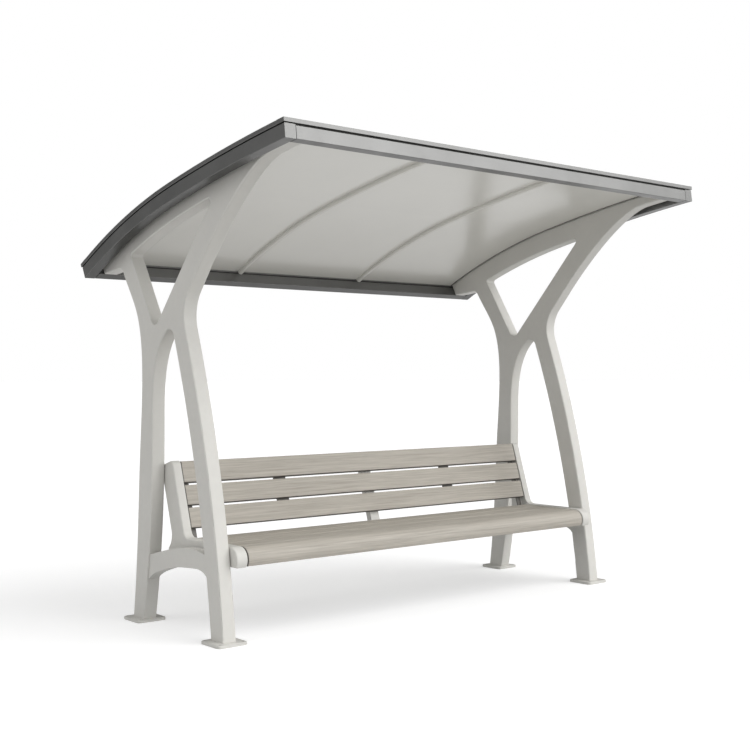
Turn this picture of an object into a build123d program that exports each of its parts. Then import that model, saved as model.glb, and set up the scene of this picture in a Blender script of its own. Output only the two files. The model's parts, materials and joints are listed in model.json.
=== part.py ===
from build123d import *
from math import asin, cos, degrees, radians, sin, tan
import os

# A bench shelter: two cast side frames carry a curved roof, and a slatted bench stands between them.
# Millimetres, +Z up, X along the bench, -Y to the front. Z is 0 under the foot plates.
# Profiles are drawn in the side plane, with y from the front foot's centre and z from the floor.

# Side frames, each one casting
frame_thickness = 76
frame_edge = 7
foot_pitch = 750
leg_set = 6
rear_leg_set = -2
leg_width = 105
leg_sagitta = 46
node_y = 500
node_z = 1500
knee_set = 209
knee_drop = 12
knee_radius = 185
knee_turn = 60
arm_set = 338
arm_rise = 285
haunch_set = 933
haunch_length = 190
throat_set = 429
throat_rise = 326
apex_set = 80
apex_rise = 13
apex_radius = 48
vee_set = 90
vee_drop = 8
vee_radius = 40
window_front_set = 462
window_rear_set = 335
rafter_depth = 118
rafter_tip_depth = 78
rafter_front_depth = 56
throat_radius = 40
tip_radius = 14
window_radius = 16
rail_thickness = 58
rail_depth = 93
rail_drop = 26
leg_bend_z = 420

# Foot plates
plate_thickness = 15
plate_corner = 20
plate_edge = 3
plate_hole = 16
plate_hole_spacing = 125
plate_margin = 20

# Roof, measured along and below the curve of its top
roof_overhang = 92
join_y = 298
join_z = 2186
join_slope = 12.2
front_slope = 7.22
rear_slope = 26.74
front_arc = 11100
rear_arc = 3830
cap_height = 20
cap_lip = 4
deck_thickness = 4
deck_inset = 8
panel_thickness = 4
front_beam_drop = 4
soffit_thickness = 4
roof_depth = 88
side_beam_width = 58
end_beam_width = 50
beam_seam = 3
rafter_gap = 4
rib_width = 30
rib_depth = 20
roof_bays = 3
panel_recess = 4
roof_edge_radius = 2

# Bench
slat_length = 2442
slat_end_gap = 4
seat_height = 447
seat_depth = 411
nose_slat_rear = 36
seat_slats = 3
slat_gap = 8
slat_thickness = 28
slat_edge = 5
nose_front = 46
nose_radius = 58
nose_height = 90
back_set = 31
back_rise = 46
back_lean = 17.4
back_slat_height = 105
back_slats = 3
back_gap = 12
top_slat_extra = 8
rim_proud = 3
end_thickness = 48
end_cheek = 15
end_cheek_set = 10
end_gap = 2
end_arm_depth = 113
end_arm_radius = 26
end_arm_rise = 8
end_corner_radius = 45
end_base_depth = 96
end_base_rear = 140
end_heel = 30
end_bend_drop = 16
end_bend_radius = 84
end_edge = 8
ledge_width = 46
ledge_thickness = 8
pad_radius = 14
pad_rise = 30
pad_set = 6
strap_width = 78
strap_thickness = 8
post_depth = 36
post_width = 62

# Worked out from the sizes above
side_inner = slat_length / 2 + slat_end_gap + end_thickness + end_gap
side_outer = side_inner + frame_thickness
deck_top = cap_height
deck_bottom = deck_top + deck_thickness
soffit_top = panel_recess + panel_thickness
soffit_bottom = soffit_top + soffit_thickness
rafter_top = soffit_bottom
roof_half = side_outer + roof_overhang
seat_pitch = (seat_depth - nose_slat_rear) / seat_slats
back_bottom_y = seat_depth + back_set
back_bottom_z = seat_height + back_rise
rail_crest = seat_height - rail_drop
nose_y = nose_radius - nose_front
nose_z = seat_height - nose_radius


def roof_at(slope, drop=0):
    """The (y, z) at a depth below the roof's top, where the top falls by slope degrees."""
    radius = front_arc if slope <= join_slope else rear_arc
    turn = radians(slope)
    centre_y = join_y - radius * sin(radians(join_slope))
    centre_z = join_z - radius * cos(radians(join_slope))
    return (centre_y + (radius - drop) * sin(turn), centre_z + (radius - drop) * cos(turn))


def slope_at(y, drop=0):
    """The slope in degrees where the curve at this depth passes y."""
    join = roof_at(join_slope, drop)[0]
    radius = front_arc if y <= join else rear_arc
    centre_y = join_y - radius * sin(radians(join_slope))
    return degrees(asin((y - centre_y) / (radius - drop)))


def from_front(length):
    return front_slope + degrees(length / front_arc)


def from_rear(length):
    return rear_slope - degrees(length / rear_arc)


depth_centre = (roof_at(front_slope, roof_depth)[0] + roof_at(from_rear(-cap_lip))[0]) / 2


def side_plane(x):
    """The plane of a side profile at x, with its own y measured from the front foot's centre."""
    return Plane(origin=(x, -depth_centre, 0), x_dir=(0, 1, 0), z_dir=(1, 0, 0))


def roof_edge(start, end, drop):
    """Arcs that follow the roof between two slopes."""
    stops = [start, end]
    if start < join_slope < end:
        stops.insert(1, join_slope)
    for low, high in zip(stops, stops[1:]):
        ThreePointArc(roof_at(low, drop), roof_at((low + high) / 2, drop), roof_at(high, drop))


def roof_strip(start, end, top, bottom, x_low, x_high, edge=0):
    """A piece that follows the roof's curve from slope to slope and from depth to depth."""
    with BuildPart() as strip:
        with BuildSketch(side_plane(x_low)):
            with BuildLine():
                roof_edge(start, end, top)
                Line(roof_at(end, top), roof_at(end, bottom))
                roof_edge(start, end, bottom)
                Line(roof_at(start, bottom), roof_at(start, top))
            make_face()
        extrude(amount=x_high - x_low)
        if edge:
            along_x = strip.edges().filter_by(Axis.X)
            curved = strip.edges().filter_by(GeomType.CIRCLE)
            fillet(curved if start < join_slope < end else along_x, edge)
    return strip.part


def save(part, name):
    part.label = name
    export_step(part, f"parts/{name}.step")


os.makedirs("parts", exist_ok=True)

# Outline points of a side frame
front_foot = (leg_set - leg_width / 2, plate_thickness)
front_foot_back = (leg_set + leg_width / 2, plate_thickness)
rear_foot = (foot_pitch + rear_leg_set - leg_width / 2, plate_thickness)
rear_foot_back = (foot_pitch + rear_leg_set + leg_width / 2, plate_thickness)
knee = (node_y - knee_set, node_z - knee_drop)
apex = (node_y - apex_set, node_z + apex_rise)
vee = (node_y + vee_set, node_z - vee_drop)
arm_front = (node_y - arm_set, node_z + arm_rise)
throat = (node_y + throat_set, node_z + throat_rise)
rafter_bottom = rafter_top + rafter_depth
front_underside = rafter_top + rafter_front_depth
tip_underside = rafter_top + rafter_tip_depth
front_end = from_front(end_beam_width)
rear_end = from_rear(end_beam_width + rafter_gap)
haunch_slope = slope_at(node_y - haunch_set, front_underside)
window_front_slope = slope_at(node_y - window_front_set, rafter_bottom)
window_rear_slope = slope_at(node_y + window_rear_set, rafter_bottom)
tip = roof_at(rear_end, tip_underside)

# Points that the curved edges of the rear arm and the rear leg pass, from the top down
rear_arm_back = [
    (node_y + 341, node_z + 194),
    (node_y + 271, node_z + 83),
    (node_y + 225, node_z - 75),
    (node_y + 214, node_z - 240),
]
rear_leg_back = [(foot_pitch - 13, node_z - 650), (foot_pitch + 11, leg_bend_z)]
rear_leg_inner = [
    (node_y + 45, node_z - 105),
    (node_y + 92, node_z - 230),
    (node_y + 109, node_z - 440),
    (foot_pitch - 140, node_z - 640),
    (foot_pitch - 115, leg_bend_z),
]

# The rail's top edge and underside, from inside the front leg to inside the rear one
rail_low = rail_crest - rail_depth
rail_mid = foot_pitch / 2
rail_start = front_foot[0] + 90
rail_end = foot_pitch - 60
rail_top = [
    (rail_start, rail_crest - 60),
    (front_foot_back[0] + 64, rail_crest - 16),
    (rail_mid - 130, rail_crest),
    (rail_mid + 75, rail_crest - 24),
    (rail_end, rail_crest - 82),
]
rail_underside = [
    (front_foot_back[0] + 30, rail_low - 60),
    (front_foot_back[0] + 55, rail_low - 22),
    (front_foot_back[0] + 92, rail_low - 4),
    (rail_mid - 130, rail_low),
    (rail_mid + 35, rail_low - 16),
    (foot_pitch - 200, rail_low - 52),
    (foot_pitch - 112, rail_low - 90),
    (foot_pitch - 82, rail_low - 115),
]
rail_foot = (rail_end, rail_low - 135)


def draw_frame_outline():
    """The casting's outline without its rail, from the front foot up, back along the rafter and down."""
    leg_front = SagittaArc(front_foot, knee, leg_sagitta)
    bend = JernArc(start=knee, tangent=leg_front % 1, radius=knee_radius, arc_size=knee_turn)
    haunch_end = Vector(*roof_at(haunch_slope, front_underside))
    roof_way = Vector(cos(radians(haunch_slope)), -sin(radians(haunch_slope)))
    arm_start = Vector(*arm_front)
    arm_way = bend % 1
    Line(bend @ 1, arm_start)
    arm_pull = arm_start + arm_way * haunch_length
    roof_pull = haunch_end + roof_way * haunch_length
    Bezier(arm_start, arm_pull, roof_pull, haunch_end)
    roof_edge(front_end, haunch_slope, front_underside)
    Line(roof_at(front_end, front_underside), roof_at(front_end, rafter_top))
    roof_edge(front_end, rear_end, rafter_top)
    Line(roof_at(rear_end, rafter_top), tip)
    Line(tip, throat)
    Spline(throat, *rear_arm_back, *rear_leg_back, rear_foot_back)
    Line(rear_foot_back, rear_foot)
    Spline(apex, *rear_leg_inner, rear_foot)
    SagittaArc(apex, front_foot_back, -leg_sagitta)
    Line(front_foot_back, front_foot)


def side_frame(x_low):
    """One casting: two legs that meet at a node, two arms, a rafter and a rail between the legs."""
    with BuildPart() as casting:
        with BuildSketch(side_plane(x_low)) as profile:
            with BuildLine():
                draw_frame_outline()
            make_face()
            for corner, radius in ((apex, apex_radius), (throat, throat_radius), (tip, tip_radius)):
                fillet(profile.vertices().sort_by_distance(corner)[0], radius)
        extrude(amount=frame_thickness)
        with BuildSketch(side_plane(x_low)) as window:
            with BuildLine():
                Line(vee, roof_at(window_front_slope, rafter_bottom))
                roof_edge(window_front_slope, window_rear_slope, rafter_bottom)
                Line(roof_at(window_rear_slope, rafter_bottom), vee)
            make_face()
            fillet(window.vertices().sort_by(Axis.Y)[0], vee_radius)
            fillet(window.vertices().sort_by(Axis.X)[0], window_radius)
            fillet(window.vertices().sort_by(Axis.X)[-1], window_radius)
        extrude(amount=frame_thickness, mode=Mode.SUBTRACT)
        outline = casting.edges().filter_by(Plane.YZ)
        above_foot = outline.filter_by(lambda edge: edge.center().Z > plate_thickness + frame_edge)
        fillet(above_foot, frame_edge)
        with BuildSketch(side_plane(x_low + (frame_thickness - rail_thickness) / 2)):
            with BuildLine():
                Spline(*rail_top)
                Line(rail_top[-1], rail_foot)
                Line(rail_foot, rail_underside[-1])
                Spline(*rail_underside)
                Line(rail_underside[0], rail_top[0])
            make_face()
        extrude(amount=rail_thickness)
    return casting.part


save(side_frame(-side_outer), "left_side_frame")
save(side_frame(side_inner), "right_side_frame")

# Foot plates, with a hole near each corner for an anchor bolt
plate_size = plate_hole_spacing + 2 * plate_margin
for side, x in (("left", -1), ("right", 1)):
    for end, y in (("front", 0), ("rear", foot_pitch)):
        with BuildPart() as plate:
            with BuildSketch(Plane.XY):
                with Locations((x * (side_inner + side_outer) / 2, y - depth_centre)):
                    RectangleRounded(plate_size, plate_size, plate_corner)
                    with GridLocations(plate_hole_spacing, plate_hole_spacing, 2, 2):
                        Circle(plate_hole / 2, mode=Mode.SUBTRACT)
            extrude(amount=plate_thickness)
            rim = plate.faces().sort_by(Axis.Z)[-1].outer_wire().edges()
            chamfer(rim, plate_edge)
        save(plate.part, f"{side}_{end}_foot_plate")


def back_at(along, behind):
    """A point by its distance up the backrest's front face and behind it."""
    lean = radians(back_lean)
    y = back_bottom_y + along * sin(lean) + behind * cos(lean)
    return (y, back_bottom_z + along * cos(lean) - behind * sin(lean))


def back_at_height(z, behind):
    """The point of that line at a height."""
    lean = radians(back_lean)
    return (back_bottom_y + (z - back_bottom_z) * tan(lean) + behind / cos(lean), z)


def bar(points, x_low, x_high, edge):
    """A straight bar along X with this outline and lightly rounded long edges."""
    with BuildPart() as piece:
        with BuildSketch(side_plane(x_low)) as section:
            with BuildLine():
                Polyline(*points, close=True)
            make_face()
            fillet(section.vertices(), edge)
        extrude(amount=x_high - x_low)
    return piece.part


slat_half = slat_length / 2
seat_half = slat_half - end_cheek
seat_underside = seat_height - slat_thickness
back_height = back_slats * back_slat_height + (back_slats - 1) * back_gap + top_slat_extra

# Seat slats behind the bull-nosed front one
for index, place in enumerate(("front", "middle", "rear")[:seat_slats]):
    low = nose_slat_rear + slat_gap + index * seat_pitch
    high = low + seat_pitch - slat_gap
    outline = [(low, seat_underside), (high, seat_underside), (high, seat_height), (low, seat_height)]
    save(bar(outline, -seat_half, seat_half, slat_edge), f"{place}_seat_slat")

# Bull-nosed slat at the front of the seat
nose_bottom = seat_height - nose_height
nose_lip = nose_y - (nose_radius**2 - (nose_z - nose_bottom) ** 2) ** 0.5
nose_inner = nose_radius - slat_thickness
nose_turn = radians(45)
with BuildPart() as nose_slat:
    with BuildSketch(side_plane(-seat_half)) as nose_section:
        with BuildLine():
            Line((nose_slat_rear, seat_height), (nose_y, seat_height))
            ThreePointArc((nose_y, seat_height), (nose_y - nose_radius, nose_z), (nose_lip, nose_bottom))
            Line((nose_lip, nose_bottom), (nose_y - nose_inner, nose_bottom))
            Line((nose_y - nose_inner, nose_bottom), (nose_y - nose_inner, nose_z))
            ThreePointArc(
                (nose_y - nose_inner, nose_z),
                (nose_y - nose_inner * sin(nose_turn), nose_z + nose_inner * cos(nose_turn)),
                (nose_y, seat_underside),
            )
            Line((nose_y, seat_underside), (nose_slat_rear, seat_underside))
            Line((nose_slat_rear, seat_underside), (nose_slat_rear, seat_height))
        make_face()
        fillet(nose_section.vertices().sort_by(Axis.Y)[:2], slat_edge)
        fillet(nose_section.vertices().sort_by(Axis.X)[-2:], slat_edge)
    extrude(amount=2 * seat_half)
save(nose_slat.part, "nose_slat")

# Backrest slats, the top one a little deeper
for index, place in enumerate(("lower", "middle", "top")[:back_slats]):
    low = index * (back_slat_height + back_gap)
    high = back_height if index == back_slats - 1 else low + back_slat_height
    rear_low = back_at(low, slat_thickness)
    rear_high = back_at(high, slat_thickness)
    outline = [back_at(low, 0), rear_low, rear_high, back_at(high, 0)]
    save(bar(outline, -slat_half, slat_half, slat_edge), f"{place}_back_slat")

# Straps that tie the slats, behind the back and under the seat
strap_behind = slat_thickness + strap_thickness
strap_low = slat_edge
strap_high = back_height - 2 * slat_edge
for side, x in (("left", -slat_length / 4), ("right", slat_length / 4)):
    low_x = x - strap_width / 2
    high_x = x + strap_width / 2
    outline = [
        back_at(strap_low, slat_thickness),
        back_at(strap_low, strap_behind),
        back_at(strap_high, strap_behind),
        back_at(strap_high, slat_thickness),
    ]
    save(bar(outline, low_x, high_x, 1), f"{side}_back_strap")
    outline = [
        (nose_y, seat_underside - strap_thickness),
        (seat_depth - slat_edge, seat_underside - strap_thickness),
        (seat_depth - slat_edge, seat_underside),
        (nose_y, seat_underside),
    ]
    save(bar(outline, low_x, high_x, 1), f"{side}_seat_strap")

# Centre bracket: an L that carries the seat and the back in the middle
outline = [
    (nose_y, seat_underside - post_depth),
    back_at_height(seat_underside - post_depth, slat_thickness + post_depth),
    back_at(strap_high, slat_thickness + post_depth),
    back_at(strap_high, slat_thickness),
    back_at_height(seat_underside, slat_thickness),
    (nose_y, seat_underside),
]
save(bar(outline, -post_width / 2, post_width / 2, 2), "centre_bracket")

# Bench end frames: a cast L with a cheek beside the seat, and a ledge behind and under the slats
rim_height = seat_height + rim_proud
rim_radius = nose_radius + rim_proud
base_bottom = rim_height - end_base_depth
base_front = nose_y - (rim_radius**2 - (nose_z - base_bottom) ** 2) ** 0.5
base_rear = back_bottom_y + end_base_rear
arm_top = back_height + end_arm_rise
arm_bend = back_at_height(rim_height - end_bend_drop, end_arm_depth)
ledge_behind = slat_thickness + ledge_thickness
cheek_rear = seat_depth + end_cheek_set
end_inner = slat_half + slat_end_gap
end_outer = end_inner + end_thickness
rail_inner = side_inner + (frame_thickness - rail_thickness) / 2
pad_z = base_bottom + pad_rise
leg_pad = (front_foot_back[0] + pad_set, pad_z)
rail_pad = (rail_mid + pad_set, pad_z)


def draw_end_front():
    """The rounded nose of a bench end, from the top of its seat rim down to its base."""
    ThreePointArc((nose_y, rim_height), (nose_y - rim_radius, nose_z), (base_front, base_bottom))


def bench_end(side):
    """One end frame; side is -1 for the left end and 1 for the right."""
    with BuildPart() as end:
        with BuildSketch(side_plane(min(side * end_inner, side * end_outer))) as web:
            with BuildLine():
                Line((base_front, base_bottom), (base_rear, base_bottom))
                Line((base_rear, base_bottom), (base_rear, base_bottom + end_heel))
                Line((base_rear, base_bottom + end_heel), arm_bend)
                Line(arm_bend, back_at(arm_top, end_arm_depth))
                Line(back_at(arm_top, end_arm_depth), back_at(arm_top, -rim_proud))
                Line(back_at(arm_top, -rim_proud), back_at_height(rim_height, -rim_proud))
                Line(back_at_height(rim_height, -rim_proud), (nose_y, rim_height))
                draw_end_front()
            make_face()
            rounding = (
                (back_at_height(rim_height, -rim_proud), end_corner_radius),
                (back_at(arm_top, -rim_proud), end_arm_radius),
                (back_at(arm_top, end_arm_depth), end_arm_radius),
                (arm_bend, end_bend_radius),
            )
            for corner, radius in rounding:
                fillet(web.vertices().sort_by_distance(corner)[0], radius)
        extrude(amount=end_thickness)
        with BuildSketch(side_plane(min(side * end_inner, side * (end_inner - end_cheek)))):
            with BuildLine():
                Line((base_front, base_bottom), (cheek_rear, base_bottom))
                Line((cheek_rear, base_bottom), (cheek_rear, rim_height))
                Line((cheek_rear, rim_height), (nose_y, rim_height))
                draw_end_front()
            make_face()
        extrude(amount=end_cheek)
        cheek_face = end.faces().filter_by(Axis.X).sort_by(Axis.X)[0 if side > 0 else -1]
        web_face = end.faces().filter_by(Axis.X).sort_by(Axis.X)[-1 if side > 0 else 0]
        fillet(cheek_face.edges() + web_face.edges(), end_edge)
        with BuildSketch(side_plane(min(side * end_inner, side * (end_inner - ledge_width)))):
            with BuildLine():
                Polyline(
                    (nose_y, seat_underside - ledge_thickness),
                    back_at_height(seat_underside - ledge_thickness, ledge_behind),
                    back_at(strap_high, ledge_behind),
                    back_at(strap_high, slat_thickness),
                    back_at_height(seat_underside, slat_thickness),
                    (nose_y, seat_underside),
                    close=True,
                )
            make_face()
        extrude(amount=ledge_width)
        for centre, casting_face in ((leg_pad, side_inner), (rail_pad, rail_inner)):
            with BuildSketch(side_plane(min(side * end_outer, side * casting_face))):
                with Locations(centre):
                    Circle(pad_radius)
            extrude(amount=casting_face - end_outer)
    return end.part


save(bench_end(-1), "left_bench_end")
save(bench_end(1), "right_bench_end")

# Roof: a frame of beams, a cap above them with a deck strip between, and panels inside the cap
beam_outer = roof_half - cap_lip
beam_inner = beam_outer - side_beam_width
end_beam_half = beam_inner - beam_seam
inner_front = from_front(end_beam_width)
inner_rear = from_rear(end_beam_width)
bay = 2 * side_outer / roof_bays
beam_top = deck_bottom + front_beam_drop

roof_bars = {
    "left_roof_beam": (front_slope, rear_slope, deck_bottom, roof_depth, -beam_outer, -beam_inner),
    "right_roof_beam": (front_slope, rear_slope, deck_bottom, roof_depth, beam_inner, beam_outer),
    "front_roof_beam": (front_slope, inner_front, beam_top, roof_depth, -end_beam_half, end_beam_half),
    "rear_roof_beam": (inner_rear, rear_slope, beam_top, roof_depth, -end_beam_half, end_beam_half),
    "front_cap": (from_front(-cap_lip), inner_front, 0, cap_height, -roof_half, roof_half),
    "rear_cap": (inner_rear, from_rear(-cap_lip), 0, cap_height, -roof_half, roof_half),
    "left_cap": (inner_front, inner_rear, 0, cap_height, -roof_half, -beam_inner),
    "right_cap": (inner_front, inner_rear, 0, cap_height, beam_inner, roof_half),
}
for name, extent in roof_bars.items():
    save(roof_strip(*extent, roof_edge_radius), name)

deck_half = beam_outer - deck_inset
deck_front = from_front(deck_inset)
deck_rear = from_rear(deck_inset)
with BuildPart() as deck:
    add(roof_strip(deck_front, deck_rear, deck_top, deck_bottom, -deck_half, deck_half))
    opening = roof_strip(inner_front, inner_rear, soffit_top, roof_depth, -beam_inner, beam_inner)
    add(opening, mode=Mode.SUBTRACT)
save(deck.part, "roof_deck")

# Roof panels and the soffit under them in three bays, with a rib under each soffit joint
seams = [(index + 1) * bay - side_outer for index in range(roof_bays - 1)]
bay_stops = [-beam_inner, *seams, beam_inner]
for index, place in enumerate(("left", "centre", "right")[:roof_bays]):
    bay_ends = bay_stops[index : index + 2]
    panel = roof_strip(inner_front, inner_rear, panel_recess, soffit_top, *bay_ends)
    save(panel, f"{place}_roof_panel")
    soffit = roof_strip(inner_front, inner_rear, soffit_top, soffit_bottom, *bay_ends)
    save(soffit, f"{place}_soffit_panel")
rib_bottom = soffit_bottom + rib_depth
for place, x in zip(("left", "right"), seams):
    low_x = x - rib_width / 2
    with BuildPart() as rib:
        add(roof_strip(inner_front, inner_rear, soffit_bottom, rib_bottom, low_x, low_x + rib_width))
        arcs = rib.edges().filter_by(GeomType.CIRCLE).group_by(lambda arc: round(arc.radius))
        fillet(arcs[0] + arcs[2], rib_width / 2 - 1)
    save(rib.part, f"{place}_roof_rib")
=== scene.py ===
import json
import math

import bpy
from mathutils import Matrix, Vector

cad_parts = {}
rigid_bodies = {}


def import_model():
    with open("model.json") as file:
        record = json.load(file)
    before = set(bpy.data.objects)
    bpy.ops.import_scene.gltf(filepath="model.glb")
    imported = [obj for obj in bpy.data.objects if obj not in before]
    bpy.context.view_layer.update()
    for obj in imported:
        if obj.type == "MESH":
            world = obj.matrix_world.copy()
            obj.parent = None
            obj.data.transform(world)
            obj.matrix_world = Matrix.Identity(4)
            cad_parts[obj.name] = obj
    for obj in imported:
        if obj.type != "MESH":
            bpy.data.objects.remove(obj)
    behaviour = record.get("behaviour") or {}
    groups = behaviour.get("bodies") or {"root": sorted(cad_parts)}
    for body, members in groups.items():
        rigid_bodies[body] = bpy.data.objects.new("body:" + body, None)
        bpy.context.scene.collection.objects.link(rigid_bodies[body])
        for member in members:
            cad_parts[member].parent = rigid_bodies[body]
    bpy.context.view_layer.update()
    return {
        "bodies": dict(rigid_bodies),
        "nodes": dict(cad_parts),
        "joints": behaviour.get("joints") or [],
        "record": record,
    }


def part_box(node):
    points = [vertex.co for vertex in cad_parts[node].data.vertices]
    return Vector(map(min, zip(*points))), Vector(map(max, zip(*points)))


# A bench shelter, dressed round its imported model. Metres, +Z up, the bench's front towards -Y.

# The camera: a level pinhole to the left of the bench's front, its turns in degrees
IMAGE_SIDE = 750
CAMERA_PLACE = (-4.3759, -5.0103, 1.2597)
CAMERA_YAW = 40.109
CAMERA_PITCH = 0.028
FOCAL_PIXELS = 1192.4
SENSOR_WIDTH = 36

# Broad glows in the sky: turn from the front towards the right and height in degrees, level, focus
GLOWS = (
    (0, 90, 0.42, 1),
    (-90, 25, 1.2, 4),
    (5, 10, 0.3, 4),
    (32, 10, 2.7, 40),
)

# The lamp's level, and its turn, height and softness in degrees
SUN_LEVEL = 2.25
SUN_TOWARDS = 35
SUN_HEIGHT = 37
SUN_SOFTNESS = 65

# The floor, and how much brighter it shows than the light on it makes it
FLOOR_COLOUR = (0.68, 0.68, 0.68)
FLOOR_ROUGHNESS = 0.95
FLOOR_LIFT = 0.46
FLOOR_SIZE = 400

# Base colours, as written on the shaders
FRAME_COLOUR = (0.63, 0.62, 0.585)
SLAT_LIGHT = (0.49, 0.457, 0.403)
SLAT_DARK = (0.315, 0.29, 0.252)
SOFFIT_COLOUR = (0.69, 0.68, 0.635)
TRIM_COLOUR = (0.19, 0.19, 0.186)
# Painted shade: the deck's near black stands for the shade in the groove under the caps, and also
# paints the shade on the trim's undersides and beside the frames on the soffit; the roof sheet's
# seams use it too
DECK_AND_SHADE_COLOUR = (0.045, 0.045, 0.043)
# The straps' dark colour is painted shade, and the bench ends' ledge is painted with it as painted
# shade too
STRAP_SHADE_COLOUR = (0.16, 0.15, 0.135)
SHEET_COLOUR = (0.36, 0.36, 0.35)

# The bench ends' ledge is painted dark as painted shade further in than this, from the middle, and
# fades over a short way
LEDGE_SHADE_FROM = 1.2095
LEDGE_SHADE_FADE = 0.002

# The soffit has a dark line of painted shade beside each frame, and the roof panels meet at two
# seams
SOFFIT_SHADE_AT = 1.2695
BAY_AT = 0.4503

# Half a dark line's width, how far it fades beyond that, and how much it covers
LINE_HALF = 0.0045
LINE_FADE = 0.002
LINE_SHARE = 0.9

# The widths of the edges painted darker on the frames as painted shade, and paler on slats and
# sheets as painted highlights
FRAME_EDGE_SHADE = 0.006
SLAT_EDGE_HIGHLIGHT = 0.004
SHEET_EDGE_HIGHLIGHT = 0.003

# Wood grain: its scales along and across a slat, how far it wanders, and each slat's own shift
WANDER = (1.1, 9, 9)
WANDER_DEPTH = 0.02
GRAIN = (2.8, 140, 140)
FINE_GRAIN = (8, 290, 290)
BROAD_GRAIN = (0.9, 14, 14)
SLAT_SHIFT = (3.7, 1.3, 2.1)

# A slat's ends, and its underside as painted shade, are this share of its dark colour
SLAT_DEEP = 0.25
# An end starts to darken at the first depth and is dark from the second
END_DEPTH = 0.005
END_RIM = 0.001
END_SHARE = 0.85

# Painted shade on undersides, by their normal: Z from where it starts to where it is full, and Y
# that leaves the leaning rear faces out
SLAT_UNDER_SHADE = (0.2, -0.1)
SLAT_REAR = (0.6, 0.85)
SLAT_UNDER_SHARE = 0.94
SHEET_UNDER_SHADE = (-0.4, -0.8)

# The middle of a noise's range, where most of its values lie
NOISE_SPAN = (0.3, 0.7)


class Nodes:
    """Adds and joins the nodes of one tree with short calls."""

    def __init__(self, tree):
        self.tree = tree

    def add(self, kind, **settings):
        node = self.tree.nodes.new(kind)
        for key, value in settings.items():
            setattr(node, key, value)
        return node

    def join(self, source, target):
        self.tree.links.new(source, target)

    def put(self, socket, value):
        """Links an output or sets a constant."""
        if isinstance(value, bpy.types.NodeSocket):
            self.join(value, socket)
        else:
            socket.default_value = value

    def maths(self, operation, *values):
        node = self.add("ShaderNodeMath", operation=operation)
        for socket, value in zip(node.inputs, values):
            self.put(socket, value)
        return node.outputs["Value"]

    def dot(self, a, b):
        """The dot product of two vectors."""
        node = self.add("ShaderNodeVectorMath", operation="DOT_PRODUCT")
        self.put(node.inputs[0], a)
        self.put(node.inputs[1], b)
        return node.outputs["Value"]

    def axis(self, vector, letter):
        """One coordinate of a vector."""
        node = self.add("ShaderNodeSeparateXYZ")
        self.join(vector, node.inputs["Vector"])
        return node.outputs[letter]

    def spread(self, value, low, high, new_low, new_high):
        """A value moved from one range to another, and held at its ends."""
        node = self.add("ShaderNodeMapRange")
        self.put(node.inputs["Value"], value)
        node.inputs["From Min"].default_value = low
        node.inputs["From Max"].default_value = high
        node.inputs["To Min"].default_value = new_low
        node.inputs["To Max"].default_value = new_high
        return node.outputs["Result"]


class Paint(Nodes):
    """One material, built round its own shader."""

    def __init__(self, name):
        self.material = bpy.data.materials.new(name)
        self.material.use_nodes = True
        super().__init__(self.material.node_tree)
        self.shader = self.tree.nodes["Principled BSDF"]
        place = self.add("ShaderNodeTexCoord").outputs
        self.place = place["Object"]
        self.facing = place["Normal"]

    def stretched(self, vector, scale, offset=(0, 0, 0)):
        """A vector scaled along each axis, for grain."""
        node = self.add("ShaderNodeMapping")
        node.inputs["Scale"].default_value = scale
        node.inputs["Location"].default_value = offset
        self.join(vector, node.inputs["Vector"])
        return node.outputs["Vector"]

    def noise(self, vector, scale, detail, roughness=0.55):
        node = self.add("ShaderNodeTexNoise")
        self.join(vector, node.inputs["Vector"])
        node.inputs["Scale"].default_value = scale
        node.inputs["Detail"].default_value = detail
        node.inputs["Roughness"].default_value = roughness
        return node.outputs["Fac"]

    def clouds(self, scale, detail, span=NOISE_SPAN, result=(0, 1)):
        """A noise over the piece, with its values in span moved to result."""
        return self.spread(self.noise(self.place, scale, detail), *span, *result)

    def mix(self, share, a, b):
        node = self.add("ShaderNodeMix", data_type="RGBA")
        self.put(node.inputs["Factor"], share)
        sockets = [s for s in node.inputs if s.type == "RGBA"]
        for socket, colour in zip(sockets, (a, b)):
            self.put(socket, (*colour, 1) if isinstance(colour, tuple) else colour)
        return [s for s in node.outputs if s.type == "RGBA"][0]

    def from_middle(self):
        """The distance from the bench's middle, along X."""
        return self.maths("ABSOLUTE", self.axis(self.place, "X"))

    def edges(self, width, share):
        """0 on flat faces and up to share on rounded or sharp edges."""
        bevel = self.add("ShaderNodeBevel", samples=4)
        bevel.inputs["Radius"].default_value = width
        normal = self.add("ShaderNodeNewGeometry").outputs["Normal"]
        return self.spread(self.dot(bevel.outputs["Normal"], normal), 1.0, 0.8, 0, share)

    def bump(self, height, strength, distance, under=None):
        """A bumped normal, on top of another one where that is given."""
        node = self.add("ShaderNodeBump")
        node.inputs["Strength"].default_value = strength
        node.inputs["Distance"].default_value = distance
        self.join(height, node.inputs["Height"])
        if under is not None:
            self.join(under, node.inputs["Normal"])
        return node.outputs["Normal"]

    def finish(self, colour, roughness, normal=None, metallic=0.0, specular=0.5):
        shader = self.shader.inputs
        self.put(shader["Base Color"], colour)
        self.put(shader["Roughness"], roughness)
        if normal is not None:
            self.put(shader["Normal"], normal)
        shader["Metallic"].default_value = metallic
        shader["Specular IOR Level"].default_value = specular
        return self.material


def tint(colour, factor):
    """A colour made paler or deeper."""
    return tuple(min(1.0, c * factor) for c in colour)


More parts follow.
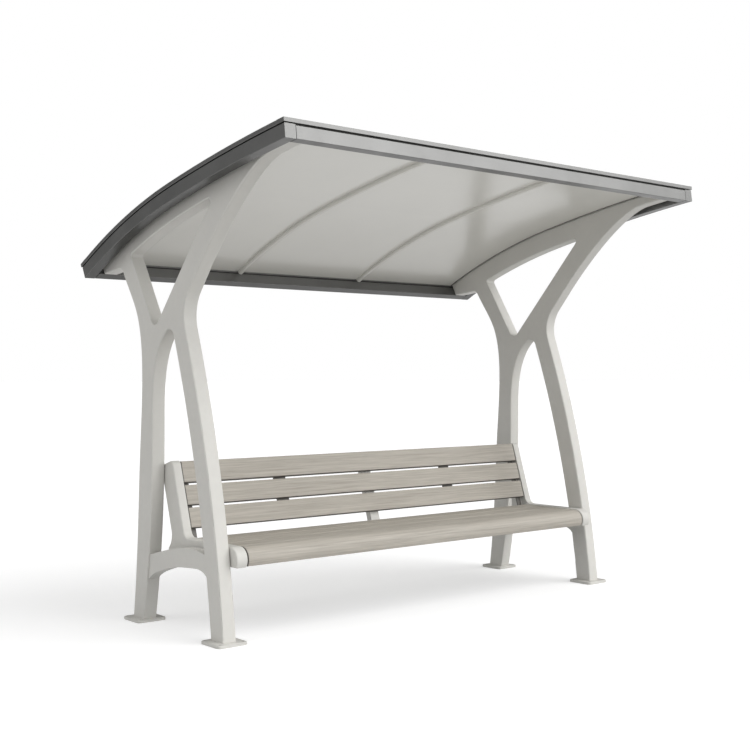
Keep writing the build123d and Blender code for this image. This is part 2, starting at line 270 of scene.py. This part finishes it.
def frame_paint(name, shaded_ledge=False):
    """Fine textured powder coat on a casting: slow tone changes, orange peel, edges painted darker
    as painted shade, and for the bench ends a ledge painted dark as painted shade.
    """
    deep = tint(FRAME_COLOUR, 0.97)
    pale = tint(FRAME_COLOUR, 1.03)
    mottled = tint(FRAME_COLOUR, 0.93)
    edge_shade = tint(FRAME_COLOUR, 0.86)
    n = Paint(name)
    base = n.mix(n.clouds(scale=2.2, detail=2), deep, pale)
    base = n.mix(n.clouds(scale=34, detail=3, span=(0.35, 0.75), result=(0, 0.35)), base, mottled)
    # Edges painted darker, as painted shade
    base = n.mix(n.edges(FRAME_EDGE_SHADE, 0.35), base, edge_shade)
    # The ledge inboard of the bench ends is painted dark, as painted shade
    if shaded_ledge:
        shaded_inboard = n.spread(n.from_middle(), LEDGE_SHADE_FROM, LEDGE_SHADE_FROM + LEDGE_SHADE_FADE, 1, 0)
        base = n.mix(shaded_inboard, base, STRAP_SHADE_COLOUR)
    peel = n.noise(n.place, scale=420, detail=2)
    cast = n.noise(n.place, scale=60, detail=2)
    cast_normal = n.bump(cast, strength=0.12, distance=0.001)
    normal = n.bump(peel, strength=0.10, distance=0.0006, under=cast_normal)
    rough = n.clouds(scale=12, detail=3, result=(0.42, 0.56))
    return n.finish(base, rough, normal, specular=0.45)


def slat_wood(name, seed, half):
    """Wood composite with brushed grain along X: fine streaks and broad bands, edges painted paler
    as a painted highlight and undersides painted dark as painted shade.

    half is half of the slat's length, and the seed gives each slat its own stretch of grain.
    """
    deep = tint(SLAT_DARK, SLAT_DEEP)
    shift = tuple(seed * step for step in SLAT_SHIFT)
    n = Paint(name)

    wander = n.noise(n.stretched(n.place, WANDER, shift), scale=1.0, detail=2)
    drift = n.maths("MULTIPLY", wander, WANDER_DEPTH)
    sideways = n.add("ShaderNodeCombineXYZ")
    n.join(drift, sideways.inputs["Y"])
    n.join(drift, sideways.inputs["Z"])
    bend = n.add("ShaderNodeVectorMath", operation="ADD")
    n.join(n.stretched(n.place, (1, 1, 1), shift), bend.inputs[0])
    n.join(sideways.outputs["Vector"], bend.inputs[1])
    bent = bend.outputs["Vector"]

    grain = n.noise(n.stretched(bent, GRAIN), scale=1.0, detail=5, roughness=0.62)
    fine = n.noise(n.stretched(bent, FINE_GRAIN), scale=1.0, detail=4, roughness=0.6)
    broad = n.noise(n.stretched(n.place, BROAD_GRAIN, shift), scale=1.0, detail=3)
    base = n.mix(n.spread(grain, 0.32, 0.68, 0, 1), tint(SLAT_DARK, 1.04), tint(SLAT_LIGHT, 1.01))
    base = n.mix(n.spread(fine, 0.5, 0.74, 0, 0.5), base, tint(SLAT_DARK, 0.86))
    base = n.mix(n.spread(broad, 0.35, 0.7, 0, 0.45), base, tint(SLAT_LIGHT, 1.03))
    # Edges painted paler, as a painted highlight
    base = n.mix(n.edges(SLAT_EDGE_HIGHLIGHT, 0.3), base, tint(SLAT_LIGHT, 1.1))
    # Faces pointing down are painted dark as painted shade, except on the nose slat and on the
    # backrest's leaning rear faces
    if name != "slat_nose_slat":
        under = n.spread(n.axis(n.facing, "Z"), *SLAT_UNDER_SHADE, 0, SLAT_UNDER_SHARE)
        not_rear = n.spread(n.axis(n.facing, "Y"), *SLAT_REAR, 1, 0)
        base = n.mix(n.maths("MULTIPLY", under, not_rear), base, deep)
    end = n.spread(n.from_middle(), half - END_DEPTH, half - END_RIM, 0, END_SHARE)
    base = n.mix(end, base, deep)

    height = n.maths("ADD", n.maths("MULTIPLY", grain, 0.6), n.maths("MULTIPLY", fine, 0.5))
    normal = n.bump(height, strength=0.35, distance=0.0012)
    rough = n.spread(grain, *NOISE_SPAN, 0.62, 0.5)
    return n.finish(base, rough, normal, specular=0.35)


def plain_paint(
    name, colour, roughness, metallic=0.0, peel=0.08, edge_highlight=0.3, mottle=0.06, joint=None, under=0.0
):
    """Smooth sheet metal paint with slow tone changes, a faint peel and edges painted paler as a
    painted highlight.

    roughness is its lowest and highest value. The dark line is drawn that far from the middle: a
    real seam on the roof sheet and painted shade beside the frames on the soffit; under is how much
    of the undersides is painted dark as painted shade.
    """
    n = Paint(name)
    base = n.mix(n.clouds(scale=3.0, detail=3), tint(colour, 1 - mottle), tint(colour, 1 + mottle))
    speckle = n.clouds(scale=90, detail=3, span=(0.4, 0.8), result=(0, 4 * mottle))
    base = n.mix(speckle, base, tint(colour, 0.88))
    # Edges painted paler, as a painted highlight
    base = n.mix(n.edges(SHEET_EDGE_HIGHLIGHT, edge_highlight), base, tint(colour, 1.35))
    # A dark line: a real seam on the roof sheet, and painted shade beside each frame on the soffit
    if joint is not None:
        from_joint = n.maths("ABSOLUTE", n.maths("SUBTRACT", n.from_middle(), joint))
        line = n.spread(from_joint, LINE_HALF, LINE_HALF + LINE_FADE, LINE_SHARE, 0)
        base = n.mix(line, base, DECK_AND_SHADE_COLOUR)
    # Undersides painted dark, as painted shade
    if under:
        base = n.mix(n.spread(n.axis(n.facing, "Z"), *SHEET_UNDER_SHADE, 0, under), base, DECK_AND_SHADE_COLOUR)
    normal = n.bump(n.noise(n.place, scale=500, detail=2), strength=peel, distance=0.0004)
    rough = n.clouds(scale=7, detail=3, result=roughness)
    return n.finish(base, rough, normal, metallic)


SLAT_NODES = (
    "nose_slat",
    "front_seat_slat",
    "middle_seat_slat",
    "rear_seat_slat",
    "lower_back_slat",
    "middle_back_slat",
    "top_back_slat",
)


def paint_nodes(nodes):
    """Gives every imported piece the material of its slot."""
    frame = frame_paint("frame_paint")
    end = frame_paint("end_paint", shaded_ledge=True)
    # The trim's undersides are painted near black as painted shade
    trim = plain_paint("roof_trim", TRIM_COLOUR, (0.28, 0.36), metallic=0.65, peel=0.06, under=0.88)
    # The deck is near black as painted shade in the groove under the caps
    deck = plain_paint("deck_metal", DECK_AND_SHADE_COLOUR, (0.55, 0.7), edge_highlight=0.1)
    # The soffit's dark line beside each frame is painted shade
    soffit = plain_paint(
        "soffit_paint", SOFFIT_COLOUR, (0.2, 0.24), peel=0.01, edge_highlight=0.1, mottle=0.01, joint=SOFFIT_SHADE_AT
    )
    sheet = plain_paint(
        "roof_sheet", SHEET_COLOUR, (0.5, 0.53), metallic=0.2, peel=0.04, mottle=0.02, joint=BAY_AT
    )
    # The straps are painted dark as painted shade in the gaps between the back slats
    bracket = plain_paint("bracket_paint", STRAP_SHADE_COLOUR, (0.4, 0.55))
    for name, node in nodes.items():
        if name in SLAT_NODES:
            material = slat_wood("slat_" + name, 1 + SLAT_NODES.index(name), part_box(name)[1][0])
        elif "bench_end" in name:
            material = end
        elif "side_frame" in name or "foot_plate" in name or name == "centre_bracket":
            material = frame
        elif "strap" in name:
            material = bracket
        elif "soffit" in name or "rib" in name:
            material = soffit
        elif name == "roof_deck":
            material = deck
        elif "roof_panel" in name:
            material = sheet
        else:
            material = trim
        node.data.materials.clear()
        node.data.materials.append(material)


def seen_mask(n, *rays):
    """1 for the rays named, which see a plain background, and 0 for the light on the object."""
    path = n.add("ShaderNodeLightPath").outputs
    seen = path[rays[0]]
    for ray in rays[1:]:
        seen = n.maths("MAXIMUM", seen, path[ray])
    return seen


def make_floor():
    """A pale floor that shows white to the camera and keeps the shadows."""
    half = FLOOR_SIZE / 2
    mesh = bpy.data.meshes.new("floor")
    corners = [(-half, -half, 0), (half, -half, 0), (half, half, 0), (-half, half, 0)]
    mesh.from_pydata(corners, [], [(0, 1, 2, 3)])
    floor = bpy.data.objects.new("floor", mesh)
    bpy.context.scene.collection.objects.link(floor)
    n = Paint("floor_white")
    n.finish((*FLOOR_COLOUR, 1), FLOOR_ROUGHNESS, specular=0.0)
    seen = seen_mask(n, "Is Camera Ray", "Is Glossy Ray", "Is Transmission Ray")
    glow = n.add("ShaderNodeEmission")
    n.join(n.maths("MULTIPLY", seen, FLOOR_LIFT), glow.inputs["Strength"])
    total = n.add("ShaderNodeAddShader")
    n.join(n.shader.outputs["BSDF"], total.inputs[0])
    n.join(glow.outputs["Emission"], total.inputs[1])
    n.join(total.outputs["Shader"], n.tree.nodes["Material Output"].inputs["Surface"])
    mesh.materials.append(n.material)


def direction(turn, height):
    """A unit vector by its turn from -Y towards +X and its height above the floor, in degrees."""
    turn = math.radians(turn)
    height = math.radians(height)
    across = math.cos(height)
    return Vector((math.sin(turn) * across, -math.cos(turn) * across, math.sin(height)))


def make_world():
    """A sky of a few broad glows, which metal reflects too, and plain white for the camera."""
    world = bpy.data.worlds.new("sky")
    bpy.context.scene.world = world
    world.use_nodes = True
    n = Nodes(world.node_tree)
    ray = n.add("ShaderNodeTexCoord").outputs["Generated"]
    level = 0.0
    for turn, height, power, focus in GLOWS:
        facing = n.maths("MAXIMUM", n.dot(ray, direction(turn, height)), 0.0)
        glow = n.maths("MULTIPLY", n.maths("POWER", facing, focus), power)
        level = n.maths("ADD", glow, level)
    seen = seen_mask(n, "Is Camera Ray", "Is Transmission Ray")
    hidden = n.maths("MULTIPLY", level, n.maths("SUBTRACT", 1.0, seen))
    background = n.tree.nodes["Background"].inputs
    n.join(n.maths("ADD", hidden, seen), background["Strength"])
    background["Color"].default_value = (1, 1, 1, 1)


def make_sun():
    """A broad soft lamp in front of the bench and to its right."""
    lamp = bpy.data.lights.new("sun", "SUN")
    lamp.energy = SUN_LEVEL
    lamp.angle = math.radians(SUN_SOFTNESS)
    holder = bpy.data.objects.new("sun", lamp)
    holder.rotation_euler = direction(SUN_TOWARDS, SUN_HEIGHT).to_track_quat("Z", "Y").to_euler()
    bpy.context.scene.collection.objects.link(holder)


def make_camera():
    """The photo's camera, as it was solved."""
    data = bpy.data.cameras.new("camera")
    data.sensor_width = SENSOR_WIDTH
    data.lens = FOCAL_PIXELS / IMAGE_SIDE * SENSOR_WIDTH
    camera = bpy.data.objects.new("camera", data)
    yaw = math.radians(CAMERA_YAW)
    pitch = math.radians(CAMERA_PITCH)
    level = math.cos(pitch)
    forward = Vector((math.sin(yaw) * level, math.cos(yaw) * level, math.sin(pitch)))
    turn = forward.to_track_quat("-Z", "Y").to_matrix().to_4x4()
    camera.matrix_world = Matrix.Translation(CAMERA_PLACE) @ turn
    bpy.context.scene.collection.objects.link(camera)
    bpy.context.scene.camera = camera


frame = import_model()
bpy.context.scene.view_settings.view_transform = "Standard"
make_camera()
make_world()
make_floor()
make_sun()
paint_nodes(frame["nodes"])
